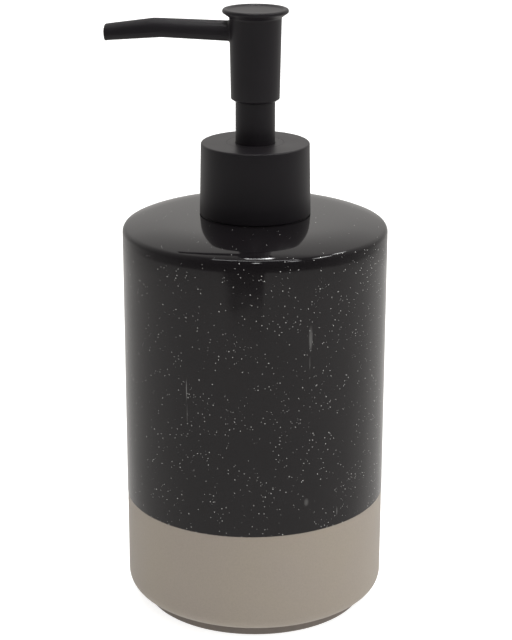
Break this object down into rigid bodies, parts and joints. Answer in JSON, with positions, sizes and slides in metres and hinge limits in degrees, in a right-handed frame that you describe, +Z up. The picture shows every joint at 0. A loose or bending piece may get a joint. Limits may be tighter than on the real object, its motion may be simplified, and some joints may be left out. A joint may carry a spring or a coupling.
{
  "type": "soap pump dispenser",
  "caption": "Round ceramic liquid soap bottle in dark speckled glaze over a bare taupe base band, with a black screw-on push pump and a long bent spout.",
  "frame": {"origin": "middle of the foot ring, on the plane that the bottle stands on", "axes": "+Z up along the bottle's axis, -X towards the spout's tip"},
  "size_m": [0.0797, 0.0744, 0.1721],
  "materials": {
    "glazed_stoneware": "dark speckled gloss glaze above a matt taupe band",
    "natural_plastic": "natural moulded polypropylene",
    "silicone_bead": "translucent silicone",
    "black_plastic": "satin black moulded polypropylene",
    "foam_gasket": "foamed polyethylene",
    "piston_plastic": "soft polyethylene",
    "spring_steel": "drawn stainless wire",
    "ball_glass": "polished",
    "tube_plastic": "extruded polyethylene"
  },
  "bodies": {
    "bottle": {"ceramic_bottle": "glazed_stoneware", "neck_insert": "black_plastic", "neck_bond": "silicone_bead"},
    "pump_core": {"pump_cylinder": "natural_plastic", "stem_guide": "black_plastic", "neck_gasket": "foam_gasket", "dip_tube": "tube_plastic"},
    "closure": {"closure_collar": "black_plastic"},
    "swivel": {"return_spring": "spring_steel"},
    "plunger": {"actuator_head": "black_plastic", "stem_tube": "black_plastic", "piston_rod": "natural_plastic"},
    "piston": {"piston_seal": "piston_plastic"},
    "valve_ball": {"inlet_ball": "ball_glass"}
  },
  "joints": [
    {"name": "thread_rise", "type": "slide", "parent": "bottle", "child": "pump_core", "axis": [0, 0, 1], "range_m": [0, 0.00847]},
    {"name": "closure_turn", "type": "hinge", "parent": "pump_core", "child": "closure", "pos_m": [0, 0, 0.125], "axis": [0, 0, 1], "range_deg": [0, 720]},
    {"name": "head_swivel", "type": "hinge", "parent": "pump_core", "child": "swivel", "pos_m": [0, 0, 0.14], "axis": [0, 0, 1], "continuous": true},
    {"name": "head_press", "type": "slide", "parent": "swivel", "child": "plunger", "axis": [0, 0, -1], "range_m": [0, 0.011], "stiffness_N_per_m": 800, "springref_m": -0.01, "deforming": ["return_spring"]},
    {"name": "piston_shift", "type": "slide", "parent": "plunger", "child": "piston", "axis": [0, 0, 1], "range_m": [0, 0.0009]},
    {"name": "ball_lift", "type": "slide", "parent": "pump_core", "child": "valve_ball", "axis": [0, 0, 1], "range_m": [0, 0.0016]}
  ],
  "couplings": [
    {"joint": "thread_rise", "follows": "closure_turn", "m_per_rad": 0.0006737}
  ]
}
